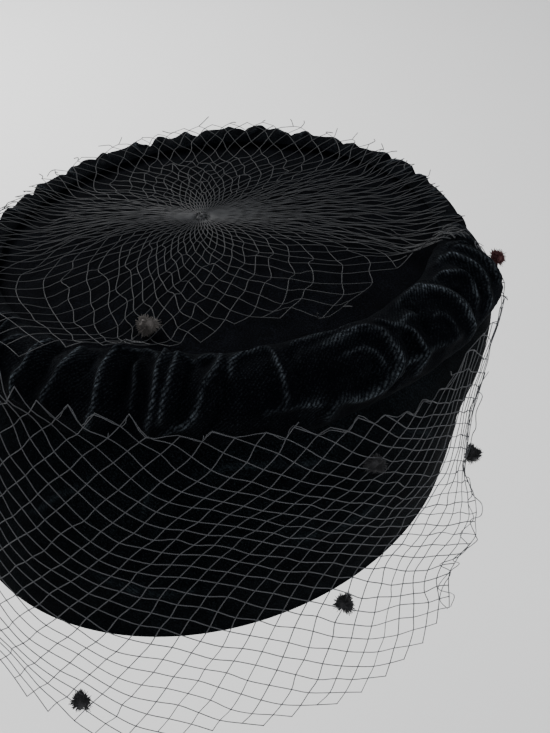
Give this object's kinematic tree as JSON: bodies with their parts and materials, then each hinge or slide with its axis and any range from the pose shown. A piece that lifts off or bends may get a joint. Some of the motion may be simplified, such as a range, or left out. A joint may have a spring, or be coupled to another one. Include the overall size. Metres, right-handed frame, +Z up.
{
  "type": "pillbox hat with a dotted net veil",
  "caption": "Soft black velvet pillbox hat with a ruched top roll and a dotted net veil, worn on the head.",
  "frame": {"origin": "centre of the head opening, on the plane of the rim", "axes": "+Z up through the crown, square to the rim; -Y towards the side of the hat with the open gap in the net; the oval's long axis lies 56 degrees from +X"},
  "size_m": [0.2016, 0.1986, 0.1404],
  "materials": {
    "velvet": "cotton velvet with a short dense pile, matt with a soft grey sheen on the fold crests",
    "net": "fine knotted nylon millinery net, slightly glossy thread",
    "chenille": "fuzzy chenille dots"
  },
  "bodies": {
    "root": {"side_band": "velvet", "crown_tip": "velvet", "ruched_band": "velvet", "veil_crown": "net", "veil_front": "net", "chenille_dot_01": "chenille", "chenille_dot_02": "chenille", "chenille_dot_03": "chenille", "chenille_dot_04": "chenille", "chenille_dot_05": "chenille", "chenille_dot_06": "chenille", "chenille_dot_07": "chenille", "chenille_dot_08": "chenille", "chenille_dot_09": "chenille"}
  },
  "joints": []
}
